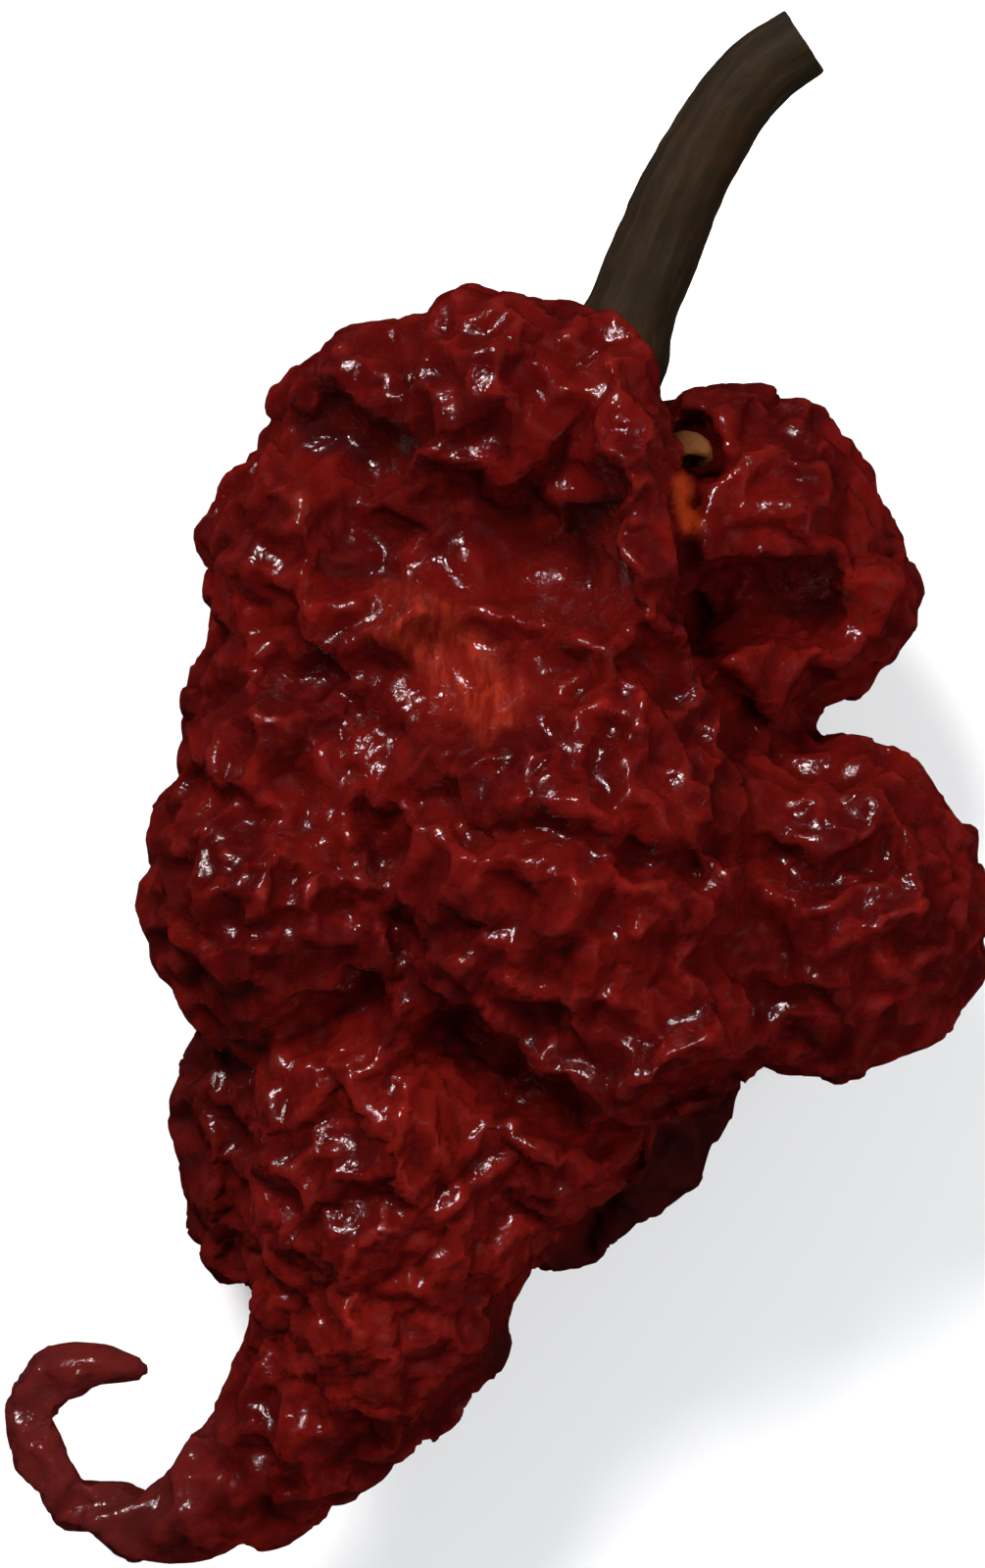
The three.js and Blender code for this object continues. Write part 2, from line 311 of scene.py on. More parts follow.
def draw(piece, strokes):
    """Lifts or sinks the upward skin of a piece along each stroke."""
    skin = points_of(piece)
    facing_up = smooth_step(normals_of(piece)[:, 2], -0.1, 0.4)
    for line, width, lift in strokes:
        near = np.exp(-((distance_to_line(skin[:, :2] / UNIT, line) / width) ** 2))
        skin[:, 2] += near * facing_up * lift * UNIT
    move_points(piece, skin)


draw(pod, STROKES)
modify(pod, "SMOOTH", factor=0.5, iterations=2)
print(len(STROKES), "strokes drawn")

# %% [markdown]
# ## The pod: drying
#
# As a pepper dries it loses water from inside, and its skin, which hardly shrinks, has to buckle. The
# cloth simulation does the same thing: every thread of the skin is made longer than the surface it
# covers, while the volume inside is held a little below the fresh one. A weak pull towards the starting
# shape keeps each lobe in its place. Smooth parts, such as the stretched flap on the front, are given
# threads that hardly grow. Two rounds are run: one on a coarse skin for the folds, and one on a finer
# skin for the small wrinkles between them. The thin taper folds less than the rest and wrinkles more,
# so the first round goes easy on it and the second one doesn't. The thin crests are drawn in between.

# %% Where the skin stayed smooth
# Stretched places: centre and half-sizes in millimetres, seen from above, and how smooth each stayed.
SMOOTH_PLACES = [
    ((-0.4, 3.8), (3.4, 3.0), 0.9),  # the bright flap on the front lobe
    ((0.2, 8.9), (3.6, 2.4), 0.9),  # the floor of the hollow
    ((12.0, 7.1), (3.4, 1.3), 0.3),  # the hollow across the right shoulder
    ((-15.4, -25.4), (6.0, 6.2), 0.3),  # the tail, which has little flesh to lose
]
TAPER = ((-4.6, -17.5), (7.4, 8.4))  # the end of the pod, thin and finely crinkled


def distance_to_oval(places, centre, half):
    """How far each place is from an oval's centre, seen from above. It is 1 on the oval itself."""
    return np.linalg.norm((places - np.array(centre)) / np.array(half), axis=1)


def smooth_share(places, facing):
    """How far the skin stayed smooth at each place, from 0 to 1."""
    share = np.zeros(len(places))
    for centre, half, most in SMOOTH_PLACES:
        away = distance_to_oval(places, centre, half)
        share = np.maximum(share, most * (1 - smooth_step(away, 0.75, 1.15)))
    return share * facing


# %% Relief, measured against a smoothed copy
def relief_of(piece, passes):
    """Height of each point above a smoothed copy of its own skin, in working millimetres."""
    smooth_copy = piece.copy()
    smooth_copy.data = piece.data.copy()
    bpy.context.scene.collection.objects.link(smooth_copy)
    modify(smooth_copy, "SMOOTH", factor=0.5, iterations=passes)
    above = points_of(piece) - points_of(smooth_copy)
    height = np.einsum("ij,ij->i", above, normals_of(smooth_copy)) / UNIT
    bpy.data.objects.remove(smooth_copy)
    return height


# %% The drying step
MOST_MOVED = 3.2  # millimetres that a point of the skin may move in one round


def dry(piece, growth, pull, bending, volume_kept, frames, seed_height, seed_pitch, calm, taper_calm):
    """Grows the skin's threads by a share, holds its volume, and lets it buckle for some frames."""
    rest = points_of(piece)
    outward = normals_of(piece)
    bumps = np.array([noise.noise(Vector(p) / (seed_pitch * UNIT)) for p in rest])
    move_points(piece, rest + outward * (bumps * seed_height * UNIT)[:, None])

    piece.vertex_groups.new(name="flesh").add(list(range(len(rest))), pull, "REPLACE")
    stays = piece.vertex_groups.new(name="stays_smooth")
    facing = smooth_step(outward[:, 2], 0.0, 0.4)
    seen = rest[:, :2] / UNIT
    off_taper = smooth_step(distance_to_oval(seen, *TAPER), 0.8, 1.1)
    calmed = calm * off_taper + taper_calm * (1 - off_taper)
    share = np.maximum(smooth_share(seen, facing), calmed)
    for i in np.flatnonzero(share):
        stays.add([int(i)], share[i], "REPLACE")

    # The volume inside, from the pyramids between each face and the origin.
    piece.data.calc_loop_triangles()
    corners = np.array([t.vertices for t in piece.data.loop_triangles])
    a, b, c = (rest[corners[:, k]] for k in range(3))
    volume = np.einsum("ij,ij->i", a, np.cross(b, c)).sum() / 6

    only(piece)
    drying = piece.modifiers.new("Drying", "CLOTH")
    cloth = drying.settings
    cloth.quality = 5
    cloth.mass = 0.3
    cloth.tension_stiffness = cloth.compression_stiffness = 40
    cloth.shear_stiffness = 20
    cloth.bending_stiffness = bending
    cloth.tension_damping = cloth.compression_damping = cloth.shear_damping = 5
    cloth.bending_damping = 0.5
    cloth.air_damping = 3
    cloth.vertex_group_mass = "flesh"
    cloth.pin_stiffness = 1
    cloth.vertex_group_shrink = "stays_smooth"
    cloth.shrink_min = -growth
    cloth.shrink_max = 0
    cloth.use_pressure = cloth.use_pressure_volume = True
    cloth.target_volume = volume * volume_kept
    cloth.pressure_factor = 50
    cloth.effector_weights.gravity = 0
    drying.collision_settings.use_collision = False
    for step in range(1, frames + 1):
        bpy.context.scene.frame_set(step)
    bpy.ops.object.modifier_apply(modifier=drying.name)
    bpy.context.scene.frame_set(1)
    piece.vertex_groups.clear()

    moved = points_of(piece) - rest
    far = np.linalg.norm(moved, axis=1)
    most = MOST_MOVED * UNIT
    moved *= np.minimum(1, most / np.maximum(far, 1e-9))[:, None]
    move_points(piece, rest + moved)
    print("points moved, mean and most, in mm:", (far.mean() / UNIT).round(2), (far.max() / UNIT).round(2))


# %% Folds, then small wrinkles
FINE = 0.29  # millimetres between the points of the finished skin
CREST_GAIN = 0.25  # how much farther each crest stands out once the skin has stiffened
# Each round's settings. The last two are how calm the skin stays off the taper and on it, from 0 to 1.
FOLDS = dict(
    growth=0.20, pull=0.2, bending=0.5, volume_kept=0.95, frames=20,
    seed_height=0.2, seed_pitch=1.6, calm=0.0, taper_calm=0.5,
)
WRINKLES = dict(
    growth=0.11, pull=0.4, bending=0.03, volume_kept=1.0, frames=8,
    seed_height=0.05, seed_pitch=0.8, calm=0.5, taper_calm=0.0,
)

dry(pod, **FOLDS)
modify(pod, "REMESH", mode="VOXEL", voxel_size=FINE * UNIT)
modify(pod, "SMOOTH", factor=0.5, iterations=2)
draw(pod, CREST_LINES)
dry(pod, **WRINKLES)
crests = np.maximum(relief_of(pod, 8), 0)
move_points(pod, points_of(pod) + normals_of(pod) * (CREST_GAIN * UNIT * crests)[:, None])
print("pod skin has", len(pod.data.vertices), "points and", len(pod.data.polygons), "faces")

# %% [markdown]
# ## The pod: settled on the table
#
# A pod that dries on a tray presses its lowest lobes flat. Any point below the table is brought up
# to it. The height of each point above the smoothed skin is kept as an attribute, so that the material
# can paint shade into the valleys and a red glow onto the crests, as where light gets through thin
# skin. A few places are coloured apart: a stretched flap, in its own lighter red with a painted glow;
# skin that lies in shade, with painted shade; a pale strip. They are kept as attributes too, with
# edges that wander.

# %% Settle on the table and measure the relief
skin = points_of(pod)
skin[:, 2] = np.maximum(skin[:, 2], 0)
move_points(pod, skin)


def keep_attribute(piece, name, values):
    layer = piece.data.attributes.new(name, "FLOAT", "POINT")
    layer.data.foreach_set("value", np.asarray(values, dtype=float))


keep_attribute(pod, "relief", relief_of(pod, 12))
keep_attribute(pod, "depth", relief_of(pod, 90))

# %% Places with a colour of their own, painted glow and painted shade
# Lines and spots in millimetres, seen from above.
FLAP_LINE = [(-3.4, 6.7), (-2.1, 5.7), (0.0, 3.6)]
BRIGHT_SPOT = (-7.4, 11.1)
SHADED_EDGE = [(9.6, -12.8), (7.0, -15.6), (4.4, -19.0), (1.2, -22.4)]
SHADED_HOLLOW = [(-7.2, 14.2), (-5.0, 13.2)]
LEFT_FOLD_EDGE = -10.0  # the fold behind the taper lies to the left of this
LEFT_FOLD_MIDDLE = 14.5  # and this far below the origin
TAIL = ((-16.0, -25.4), (5.6, 6.2))
PALE_STRIP = [(7.4, 12.0), (7.5, 11.0), (7.7, 10.3)]
WANDER_PITCH = 1.3


def fade(away, near, far):
    """1 up to the near distance, 0 from the far one on, and smooth in between."""
    return 1 - smooth_step(away, near, far)


facing_up = smooth_step(normals_of(pod)[:, 2], -0.1, 0.4)
seen = points_of(pod)[:, :2] / UNIT
wander = np.array(
    [[noise.noise(Vector((x, y, layer))) for layer in (0, 9)] for x, y in seen / WANDER_PITCH]
)

# The flap: its own lighter red, with a painted glow as where light gets through the stretched skin.
flap_away = np.minimum(
    distance_to_line(seen + 0.9 * wander, FLAP_LINE),
    np.linalg.norm(seen - np.array(BRIGHT_SPOT), axis=1) + 0.9,
)
keep_attribute(pod, "flap", facing_up * fade(flap_away, 0.7, 1.8))
# Painted shade: the skin along the shaded edge by the taper, in the shaded hollow and on the fold left of
# the taper is darkened because it lies in shade.
shade_away = np.minimum(
    distance_to_line(seen, SHADED_EDGE),
    distance_to_line(seen + 0.6 * wander, SHADED_HOLLOW) + 1.2,
)
left_fold = fade(seen[:, 0] + 0.8 * wander[:, 0], LEFT_FOLD_EDGE, LEFT_FOLD_EDGE + 1)
left_fold *= fade(np.abs(seen[:, 1] + LEFT_FOLD_MIDDLE), 4.5, 5.5)
keep_attribute(pod, "painted_shade", np.maximum(0.8 * fade(shade_away, 1.0, 2.2), 0.3 * left_fold))
keep_attribute(pod, "ripe", facing_up * fade(distance_to_oval(seen + wander, *TAPER), 0.7, 1.1))
keep_attribute(pod, "bloom", fade(distance_to_oval(seen + wander, *TAIL), 0.6, 1.2))
uneven = 0.75 + 0.5 * wander[:, 0]
keep_attribute(pod, "pale_skin", fade(distance_to_line(seen, PALE_STRIP), 0.2, 0.55) * uneven)

# %% Return to real size
move_points(pod, points_of(pod) / WORK_SCALE)
only(pod)
bpy.ops.object.shade_smooth()
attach(pod, "root")
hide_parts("pod")
pod_points = points_of(pod) / MM
print("pod box in mm", pod_points.min(axis=0).round(2), pod_points.max(axis=0).round(2))

# %% [markdown]
# ## The calyx
#
# The calyx is the dry remains of the green star that held the flower. It sits in the dip between the
# shoulders: a thin cap with a narrow neck, a rib to each of its five short teeth, and a rim that curled
# as it dried. Most of it hides under the pod, but one tooth stands up, tan and dry, in the gap beside
# the ridge. It is made flat and upright, from a circle extruded out and down ring by ring, then
# given its thickness, and turned to face along the stem. Last, the rim is drawn in towards the neck
# where the dried pod has swelled into its place. Only the raised tooth is left as long as it grew, with
# its left side still pressed into the ridge.

# %% The rings of the calyx
CALYX_CENTRE = Vector((3.83, 14.68, 11.4))
STEM_DIRECTION = Vector((0.36, 0.92, 0.1)).normalized()
CALYX_SIDES = 60
TEETH = 5
WALL = 0.38  # the cap's thickness in millimetres
RAISED_TOOTH_AT = math.radians(-50)  # where round the cap the raised tooth stands
RAISED_WIDTH = 0.30  # how wide it is, in radians
RAISED_STRETCH = 0.52  # how much farther out it reaches, as a share of the radius
RAISED_LIFT = 3.2  # how far its tip is lifted, in millimetres
# Radius and height of each ring, in millimetres, from the neck to the rim.
CALYX_RINGS = [
    (1.7, 1.05), (2.15, 1.15), (2.3, 0.85), (2.05, 0.5), (2.35, 0.2),
    (2.9, 0.0), (3.4, -0.35), (3.9, -0.85), (4.35, -1.45), (4.7, -2.1),
]

bpy.ops.object.select_all(action="DESELECT")
first_radius, first_height = CALYX_RINGS[0]
bpy.ops.mesh.primitive_circle_add(
    vertices=CALYX_SIDES, radius=first_radius * UNIT, location=(0, 0, first_height * UNIT)
)
calyx = bpy.context.object
calyx.name = "calyx_cap"
bpy.ops.object.transform_apply(location=True, rotation=True, scale=True)
bpy.ops.object.mode_set(mode="EDIT")
bpy.ops.mesh.select_all(action="SELECT")
for (radius, height), (next_radius, next_height) in zip(CALYX_RINGS[:-1], CALYX_RINGS[1:]):
    drop = (0, 0, (next_height - height) * UNIT)
    bpy.ops.mesh.extrude_region_move(TRANSFORM_OT_translate={"value": drop})
    widen = next_radius / radius
    bpy.ops.transform.resize(value=(widen, widen, 1), center_override=(0, 0, next_height * UNIT))
bpy.ops.mesh.select_all(action="SELECT")
bpy.ops.mesh.normals_make_consistent(inside=False)
bpy.ops.object.mode_set(mode="OBJECT")
modify(calyx, "SUBSURF", levels=1, render_levels=1)
print("calyx cap has", len(calyx.data.polygons), "faces")

# %% Teeth, ribs and the curled rim
cap = points_of(calyx) / UNIT
radius = np.hypot(cap[:, 0], cap[:, 1])
angle = np.arctan2(cap[:, 1], cap[:, 0])
rim = smooth_step(radius, 2.8, 4.7)
tooth = np.maximum(0, np.cos(TEETH * (angle - RAISED_TOOTH_AT))) ** 1.5
stretch = 1 + rim * (0.20 * tooth - 0.10 + 0.03 * np.sin(3 * angle + 1))
cap[:, :2] *= stretch[:, None]
cap[:, 2] += rim * (0.25 * np.sin(3 * angle + 0.5) + 0.15 * np.sin(8 * angle))
rib = np.abs(np.cos(TEETH * (angle - RAISED_TOOTH_AT))) ** 6
cap[:, 2] += 0.16 * rib * smooth_step(radius, 2.0, 2.8)
raised_tooth = np.exp(-(((angle - RAISED_TOOTH_AT) / RAISED_WIDTH) ** 2)) * rim
cap[:, :2] *= (1 + RAISED_STRETCH * raised_tooth)[:, None]
cap[:, 2] += RAISED_LIFT * raised_tooth
move_points(calyx, cap * UNIT)
modify(calyx, "SOLIDIFY", thickness=WALL * UNIT, offset=-1)
modify(calyx, "SUBSURF", levels=1, render_levels=1)

# %% Crumple it, then turn it to face along the stem
def crumple(piece, kind, pitch, height, **settings):
    """Raises and sinks the skin by a procedural texture, as the Displace modifier does."""
    texture = bpy.data.textures.new(piece.name + "_crumple", kind)
    texture.noise_scale = pitch * UNIT
    for name, value in settings.items():
        setattr(texture, name, value)
    modify(piece, "DISPLACE", texture=texture, strength=height * UNIT, mid_level=0.5)


crumple(calyx, "CLOUDS", pitch=1.1, height=0.5, noise_depth=2)
crumple(calyx, "CLOUDS", pitch=0.35, height=0.16, noise_depth=1)
cap = points_of(calyx) / UNIT
radius = np.hypot(cap[:, 0], cap[:, 1])
calyx_rim = smooth_step(radius, 3.2, 4.9)
calyx_angle = np.arctan2(cap[:, 1], cap[:, 0])
across = Vector((STEM_DIRECTION.y, -STEM_DIRECTION.x, 0)).normalized()


def along_stem(cap):
    """The cap's points, in millimetres, turned to face along the stem and put in their place."""
    turned = cap[:, :1] * np.array(across) + cap[:, 1:2] * np.array(STEM_DIRECTION.cross(across))
    return turned + cap[:, 2:] * np.array(STEM_DIRECTION) + np.array(CALYX_CENTRE)


# %% Tuck the rim in where the pod's skin is in the way
SKIN_GAP = 0.06  # millimetres kept between the cap and the skin
TUCK_STEP = 0.04  # share of the way to the neck that the rim is drawn in at a time
MOST_TUCK = 0.72  # the share at which drawing in stops
TUCK_PLACES = 72  # places round the rim that are tucked each by its own amount
RAISED_HALF_WIDTH = 0.28  # radians to each side of the raised tooth, which isn't tucked
NECK = (2.3, 0.2)  # radius and height that the rim is drawn towards

pod_faces = [tuple(face.vertices) for face in pod.data.polygons]
skin = BVHTree.FromPolygons((points_of(pod) / MM).tolist(), pod_faces)
place_angles = (np.arange(TUCK_PLACES) + 0.5) * math.tau / TUCK_PLACES - math.pi
place_of = ((calyx_angle + math.pi) / math.tau * TUCK_PLACES).astype(int) % TUCK_PLACES
neck_radius, neck_height = NECK
neck = np.stack(
    [neck_radius * np.cos(calyx_angle), neck_radius * np.sin(calyx_angle), np.full(len(cap), neck_height)],
    axis=1,
)
loose = smooth_step(radius, 2.3, 3.6)
tuck = np.zeros(TUCK_PLACES)
while True:
    share = np.interp(calyx_angle, place_angles, tuck, period=math.tau)
    tucked = cap + (neck - cap) * (share * loose)[:, None]
    touching = np.zeros(len(cap), dtype=bool)
    for i, p in enumerate(along_stem(tucked)):
        near, outward, _, _ = skin.find_nearest(Vector(p))
        touching[i] = (Vector(p) - near).dot(outward) < SKIN_GAP
    to_tuck = np.isin(np.arange(TUCK_PLACES), place_of[touching]) & (tuck < MOST_TUCK)
    to_tuck &= np.abs(place_angles - RAISED_TOOTH_AT) >= RAISED_HALF_WIDTH
    if not to_tuck.any():
        break
    tuck[to_tuck | np.roll(to_tuck, 1) | np.roll(to_tuck, -1)] += TUCK_STEP
print("calyx points still in the skin:", int(touching.sum()), "most tuck", round(tuck.max(), 2))
move_points(calyx, along_stem(tucked) * MM)
keep_attribute(calyx, "rim", calyx_rim)


def keep_grain(piece, grain):
    """Keeps, for each point, its place on the straightened piece, so that fibres can follow it."""
    layer = piece.data.attributes.new("grain", "FLOAT_VECTOR", "POINT")
    layer.data.foreach_set("vector", np.asarray(grain, dtype=float).ravel())


keep_grain(calyx, np.stack([3 * np.cos(calyx_angle), 3 * np.sin(calyx_angle), radius], axis=1))
only(calyx)
bpy.ops.object.shade_smooth()
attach(calyx, "root")
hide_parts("calyx")
calyx_points = points_of(calyx) / MM
print("calyx box in mm", calyx_points.min(axis=0).round(2), calyx_points.max(axis=0).round(2))

# %% [markdown]
# ## The stem
#
# The stem is a woody stalk that swells a little where it leaves the calyx and thins towards its cut
# end. It is extruded ring by ring along its curved middle line, each ring turned to face the way the
# stalk runs. Shallow grooves and a slight flattening, which every dried stalk has, are added to the
# rings, and the cut end is inset so that the bark stands a little proud of the pith.

# %% The stem's middle line
# Stations in millimetres, from inside the calyx's neck to the cut end, and the stem's radius at each.
STEM_STATIONS = [
    ((4.37, 16.07, 11.55), 2.0),
    ((4.62, 16.70, 11.62), 2.05),
    ((5.35, 18.70, 11.85), 1.92),
    ((6.35, 21.20, 12.12), 1.82),
    ((7.53, 23.88, 12.40), 1.72),
    ((9.10, 26.60, 12.70), 1.62),
    ((10.70, 28.50, 12.95), 1.55),
    ((12.35, 29.62, 13.18), 1.5),
]
STEM_SIDES = 48
STEM_RINGS = 44


def curve_through(stations, count):
    """Evenly spread points on a smooth curve through some stations, with a value carried along."""
    rows = np.array([(*place, value) for place, value in stations])
    ends = np.vstack([2 * rows[0] - rows[1], rows, 2 * rows[-1] - rows[-2]])
    dense = []
    for p0, p1, p2, p3 in zip(ends[:-3], ends[1:-2], ends[2:-1], ends[3:]):
        for t in np.linspace(0, 1, 40, endpoint=False):
            dense.append(
                0.5 * (2 * p1 + (p2 - p0) * t + (2 * p0 - 5 * p1 + 4 * p2 - p3) * t**2
                       + (3 * p1 - p0 - 3 * p2 + p3) * t**3)
            )
    dense = np.array([*dense, rows[-1]])
    length = np.concatenate([[0], np.cumsum(np.linalg.norm(np.diff(dense[:, :3], axis=0), axis=1))])
    even = np.linspace(0, length[-1], count)
    return np.stack([np.interp(even, length, dense[:, k]) for k in range(4)], axis=1), even


stem_line, stem_length = curve_through(STEM_STATIONS, STEM_RINGS)
print("stem length in mm", round(stem_length[-1], 1))

# %% The stem's rings
stem_heading = np.gradient(stem_line[:, :3], axis=0)
stem_heading /= np.linalg.norm(stem_heading, axis=1)[:, None]

bpy.ops.object.select_all(action="DESELECT")
bpy.ops.mesh.primitive_circle_add(
    vertices=STEM_SIDES,
    radius=stem_line[0, 3] * UNIT,
    location=Vector(stem_line[0, :3]) * UNIT,
    rotation=Vector(stem_heading[0]).to_track_quat("Z", "Y").to_euler(),
    fill_type="NGON",
)
stem = bpy.context.object
stem.name = "stem_stalk"
bpy.ops.object.transform_apply(location=True, rotation=True, scale=True)
bpy.ops.object.mode_set(mode="EDIT")
bpy.ops.mesh.select_all(action="SELECT")
for i in range(1, STEM_RINGS):
    place = Vector(stem_line[i, :3]) * UNIT
    step = place - Vector(stem_line[i - 1, :3]) * UNIT
    bpy.ops.mesh.extrude_region_move(TRANSFORM_OT_translate={"value": step})
    before, after = stem_heading[i - 1, :2], stem_heading[i, :2]
    turn = math.atan2(before[0] * after[1] - before[1] * after[0], before @ after)
    bpy.ops.transform.rotate(value=-turn, orient_axis="Z", center_override=place)
    thinner = stem_line[i, 3] / stem_line[i - 1, 3]
    bpy.ops.transform.resize(value=(thinner,) * 3, center_override=place)
# The cut end: the bark's edge, then the pith, sunk a little in two steps.
bpy.ops.mesh.inset(thickness=0.22 * UNIT)
bpy.ops.transform.translate(value=Vector(stem_heading[-1]) * -0.12 * UNIT)
bpy.ops.mesh.inset(thickness=0.75 * UNIT)
bpy.ops.transform.translate(value=Vector(stem_heading[-1]) * -0.18 * UNIT)
bpy.ops.mesh.inset(thickness=0.25 * UNIT)
bpy.ops.mesh.select_all(action="SELECT")
bpy.ops.mesh.normals_make_consistent(inside=False)
bpy.ops.object.mode_set(mode="OBJECT")


def place_on_stem(points):
    """For points in millimetres: distance along the stem, angle round it, and offset from its line."""
    nearest = np.argmin(np.linalg.norm(points[:, None] - stem_line[None, :, :3], axis=2), axis=1)
    heading = stem_heading[nearest]
    offset = points - stem_line[nearest, :3]
    extra = np.einsum("ij,ij->i", offset, heading)
    offset -= extra[:, None] * heading
    up = np.array([0, 0, 1.0])
    side = np.cross(heading, up)
    angle = np.arctan2(offset @ up, np.einsum("ij,ij->i", offset, side))
    return stem_length[nearest] + extra, angle, offset


# Shallow grooves, a swollen foot and a flattened section, as shares of the radius.
stalk = points_of(stem) / UNIT
along, angle, offset = place_on_stem(stalk)
grooves = 0.022 * np.cos(6 * angle + 0.12 * along) + 0.012 * np.cos(11 * angle - 0.25 * along + 1)
swell = 0.10 * np.exp(-((along - 1.6) / 0.9) ** 2) - 0.05 * np.exp(-((along - 3.6) / 1.0) ** 2)
flattened = -0.05 * np.cos(2 * angle + 0.5)
stalk += offset * (grooves + swell + flattened)[:, None]
move_points(stem, stalk * UNIT)
modify(stem, "SUBSURF", levels=1, render_levels=1)
crumple(stem, "CLOUDS", pitch=2.2, height=0.22, noise_depth=2)
crumple(stem, "CLOUDS", pitch=0.5, height=0.05, noise_depth=2)
stalk = points_of(stem) / UNIT
along, angle, offset = place_on_stem(stalk)
outward = np.linalg.norm(offset, axis=1)
keep_grain(stem, np.stack([outward * np.cos(angle), outward * np.sin(angle), along], axis=1))
at_the_end = smooth_step(along, stem_length[-1] - 0.16, stem_length[-1] - 0.02)
keep_attribute(stem, "cut_end", at_the_end * fade(outward, 1.25, 1.4))
move_points(stem, stalk * MM)
only(stem)
bpy.ops.object.shade_smooth_by_angle(angle=math.radians(50))
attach(stem, "root")
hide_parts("stem")
print("stem box in mm", (stalk.min(axis=0)).round(2), (stalk.max(axis=0)).round(2))

# %% [markdown]
# ## Finishes
#
# Each material is a Principled shader fed by textures that read the piece's own coordinates in
# millimetres. Two effects are shared by all of them, so each is built once as a node group: fine
# crinkle, the network of tiny creases that all dried skin has, and mottle, the slow change of tone
# from place to place.

# %% Helpers for nodes
def new_group(name, inputs, outputs):
    """An empty node group with named sockets. Each input or output is a name and a kind."""
    group = bpy.data.node_groups.new(name, "ShaderNodeTree")
    for label, kind, value in inputs:
        socket = group.interface.new_socket(label, in_out="INPUT", socket_type=kind)
        if value is not None:
            socket.default_value = value
    for label, kind in outputs:
        group.interface.new_socket(label, in_out="OUTPUT", socket_type=kind)
    return group, group.nodes.new("NodeGroupInput"), group.nodes.new("NodeGroupOutput")


def add_node(tree, kind, inputs=None, **settings):
    """A node of a kind, with its settings, and its inputs given as values or as other sockets."""
    node = tree.nodes.new(kind)
    for name, value in settings.items():
        setattr(node, name, value)
    for name, value in (inputs or {}).items():
        if isinstance(value, bpy.types.NodeSocket):
            tree.links.new(value, node.inputs[name])
        else:
            node.inputs[name].default_value = value
    return node


def mix_colours(tree, share, first, second, blend="MIX"):
    node = add_node(tree, "ShaderNodeMix", data_type="RGBA", blend_type=blend)
    for index, value in ((0, share), (6, first), (7, second)):
        if isinstance(value, bpy.types.NodeSocket):
            tree.links.new(value, node.inputs[index])
        else:
            node.inputs[index].default_value = value
    return node.outputs[2]


def remap(tree, value, low, high, to_low=0.0, to_high=1.0):
    inputs = {"Value": value, "From Min": low, "From Max": high, "To Min": to_low, "To Max": to_high}
    return add_node(tree, "ShaderNodeMapRange", inputs, interpolation_type="SMOOTHSTEP").outputs["Result"]


def combine(tree, operation, first, second):
    node = add_node(tree, "ShaderNodeMath", {0: first, 1: second}, operation=operation)
    return node.outputs["Value"]


def attribute(tree, name, output="Fac"):
    return add_node(tree, "ShaderNodeAttribute", attribute_name=name).outputs[output]


def noise_at(tree, place, scale, detail=2.0, roughness=0.5, output="Fac"):
    inputs = {"Vector": place, "Scale": scale, "Detail": detail, "Roughness": roughness}
    return add_node(tree, "ShaderNodeTexNoise", inputs).outputs[output]


def millimetres(tree, stretch=(1, 1, 1)):
    """The piece's own coordinates, in millimetres."""
    where = add_node(tree, "ShaderNodeTexCoord").outputs["Object"]
    scale = tuple(s / MM for s in stretch)
    return add_node(tree, "ShaderNodeMapping", {"Vector": where, "Scale": scale}).outputs["Vector"]


def new_material(name):
    material = bpy.data.materials.new(name)
    material.use_nodes = True
    tree = material.node_tree
    return material, tree, tree.nodes["Principled BSDF"]


# %% The shared crinkle and mottle groups
crinkle, given, result = new_group(
    "fine_crinkle",
    [
        ("Place", "NodeSocketVector", None),
        ("Pitch", "NodeSocketFloat", 1.0),
        ("Bend", "NodeSocketFloat", 0.5),
    ],
    [("Height", "NodeSocketFloat"), ("Crest", "NodeSocketFloat")],
)
per_pitch = combine(crinkle, "DIVIDE", 1.0, given.outputs["Pitch"])
bend_noise = noise_at(crinkle, given.outputs["Place"], per_pitch, detail=1.0, output="Color")


def vector_math(tree, operation, inputs):
    return add_node(tree, "ShaderNodeVectorMath", inputs, operation=operation).outputs[0]


bent = vector_math(crinkle, "SUBTRACT", {0: bend_noise, 1: (0.5, 0.5, 0.5)})
bent = vector_math(crinkle, "SCALE", {0: bent, "Scale": given.outputs["Bend"]})
bent_place = vector_math(crinkle, "ADD", {0: given.outputs["Place"], 1: bent})
cells = add_node(
    crinkle, "ShaderNodeTexVoronoi", {"Vector": bent_place, "Scale": per_pitch},
    feature="DISTANCE_TO_EDGE",
)
crest = remap(crinkle, cells.outputs["Distance"], 0.0, 0.22, 1.0, 0.0)
ripple = noise_at(crinkle, bent_place, combine(crinkle, "MULTIPLY", per_pitch, 2.3), detail=3.0)
height = combine(crinkle, "ADD", combine(crinkle, "MULTIPLY", crest, 0.45), ripple)
crinkle.links.new(height, result.inputs["Height"])
crinkle.links.new(crest, result.inputs["Crest"])

mottle, given, result = new_group(
    "mottle",
    [("Place", "NodeSocketVector", None), ("Pitch", "NodeSocketFloat", 1.0)],
    [("Mask", "NodeSocketFloat")],
)
per_pitch = combine(mottle, "DIVIDE", 1.0, given.outputs["Pitch"])
patches = noise_at(mottle, given.outputs["Place"], per_pitch, detail=3.0, roughness=0.55)
mottle.links.new(remap(mottle, patches, 0.38, 0.62), result.inputs["Mask"])


def place_group(tree, group, **inputs):
    node = tree.nodes.new("ShaderNodeGroup")
    node.node_tree = group
    for name, value in inputs.items():
        if isinstance(value, bpy.types.NodeSocket):
            tree.links.new(value, node.inputs[name])
        else:
            node.inputs[name].default_value = value
    return node


